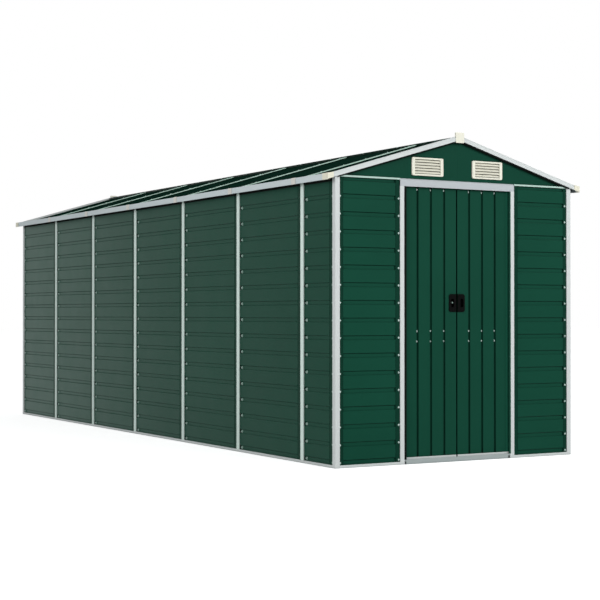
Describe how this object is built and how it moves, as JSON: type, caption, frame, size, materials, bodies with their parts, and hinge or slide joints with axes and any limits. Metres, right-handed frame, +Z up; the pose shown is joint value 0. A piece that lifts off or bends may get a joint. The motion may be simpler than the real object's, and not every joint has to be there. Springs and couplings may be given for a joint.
{
  "type": "metal storage shed",
  "caption": "Long green ribbed-steel storage shed with white trims, a low gable roof, louvred gable vents and a pair of sliding doors in the gable end.",
  "frame": {"origin": "centre of the plan, on the ground under the base rails", "axes": "+Z up; -Y is the front gable end with the doors; +X is to the right seen from the front; the length runs along Y"},
  "size_m": [1.872, 5.426, 1.9935],
  "materials": {
    "green_sheet": "satin green coating on steel sheet",
    "white_trim": "satin off-white coating",
    "sill_grey": "satin light grey coating",
    "galvanised": "dull zinc",
    "cream_plastic": "matte cream moulding",
    "handle_plastic": "matte black moulding"
  },
  "bodies": {
    "shed": {"base_rails": "white_trim", "corner_caps": "cream_plastic", "corner_posts_front": "white_trim", "corner_posts_rear": "white_trim", "door_guide": "galvanised", "door_header": "white_trim", "door_jambs": "white_trim", "door_sill": "sill_grey", "door_track": "galvanised", "eave_caps": "cream_plastic", "eave_fascias": "white_trim", "front_wall_panels": "green_sheet", "gable_sheets_front": "green_sheet", "gable_sheets_rear": "green_sheet", "rake_trims_front": "white_trim", "rake_trims_rear": "white_trim", "rear_wall_panels": "green_sheet", "ridge_beam": "galvanised", "ridge_cap": "green_sheet", "ridge_end_caps": "cream_plastic", "roof_purlins": "galvanised", "roof_sheets_left": "green_sheet", "roof_sheets_right": "green_sheet", "roof_strips": "white_trim", "side_wall_panels_left": "green_sheet", "side_wall_panels_right": "green_sheet", "top_rails": "white_trim", "vents_front": "cream_plastic", "vents_rear": "cream_plastic", "wall_strip_rear": "white_trim", "wall_strips_left": "white_trim", "wall_strips_right": "white_trim"},
    "left_door": {"left_door_bottom_rail": "white_trim", "left_door_handle": "handle_plastic", "left_door_hangers": "galvanised", "left_door_mid_rail": "galvanised", "left_door_sheet": "green_sheet", "left_door_top_rail": "galvanised"},
    "right_door": {"right_door_bottom_rail": "white_trim", "right_door_handle": "handle_plastic", "right_door_hangers": "galvanised", "right_door_mid_rail": "galvanised", "right_door_sheet": "green_sheet", "right_door_top_rail": "galvanised"}
  },
  "joints": [
    {"name": "left_door_slide", "type": "slide", "parent": "shed", "child": "left_door", "axis": [-1, 0, 0], "range_m": [0, 0.325]},
    {"name": "right_door_slide", "type": "slide", "parent": "shed", "child": "right_door", "axis": [1, 0, 0], "range_m": [0, 0.325]}
  ]
}
